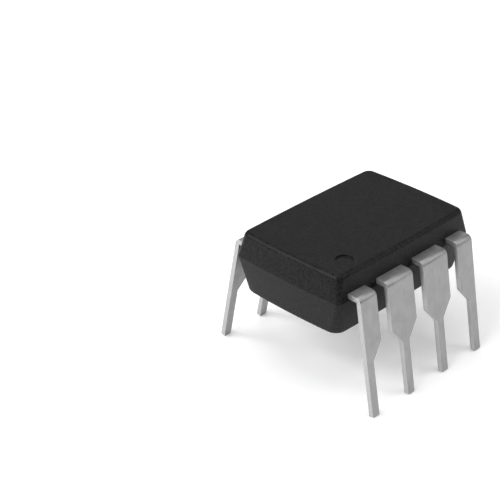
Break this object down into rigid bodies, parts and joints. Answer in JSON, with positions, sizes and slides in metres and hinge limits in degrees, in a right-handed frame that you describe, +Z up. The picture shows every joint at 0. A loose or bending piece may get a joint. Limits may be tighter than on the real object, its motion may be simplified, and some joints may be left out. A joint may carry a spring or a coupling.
{
  "type": "dip integrated circuit chip",
  "caption": "Dual in-line integrated circuit: a drafted resin body on two rows of bent, tapered leads, with lead frame, die and bond wires sealed inside.",
  "frame": {"origin": "level with the lowest edges of the lead tips, at the middle of the lead pattern", "axes": "+Z up through the body, +Y towards the end wall beside the pin 1 dimple, +X from the pin 1 row to the other row"},
  "size_m": [0.01, 0.0096, 0.0069],
  "materials": {
    "resin": "fine matt moulded epoxy",
    "tinned_lead": "satin tin plate on a stamped strip",
    "silver_glue": "silver-filled adhesive",
    "silicon": "polished silicon",
    "gold_wire": "drawn gold wire"
  },
  "bodies": {
    "root": {"body": "resin", "lead_1": "tinned_lead", "lead_2": "tinned_lead", "lead_3": "tinned_lead", "lead_4": "tinned_lead", "lead_5": "tinned_lead", "lead_6": "tinned_lead", "lead_7": "tinned_lead", "lead_8": "tinned_lead", "die_attach": "silver_glue", "die": "silicon", "bond_wire_1": "gold_wire", "bond_wire_2": "gold_wire", "bond_wire_3": "gold_wire", "bond_wire_4": "gold_wire", "bond_wire_5": "gold_wire", "bond_wire_6": "gold_wire", "bond_wire_7": "gold_wire", "bond_wire_8": "gold_wire"}
  },
  "joints": []
}
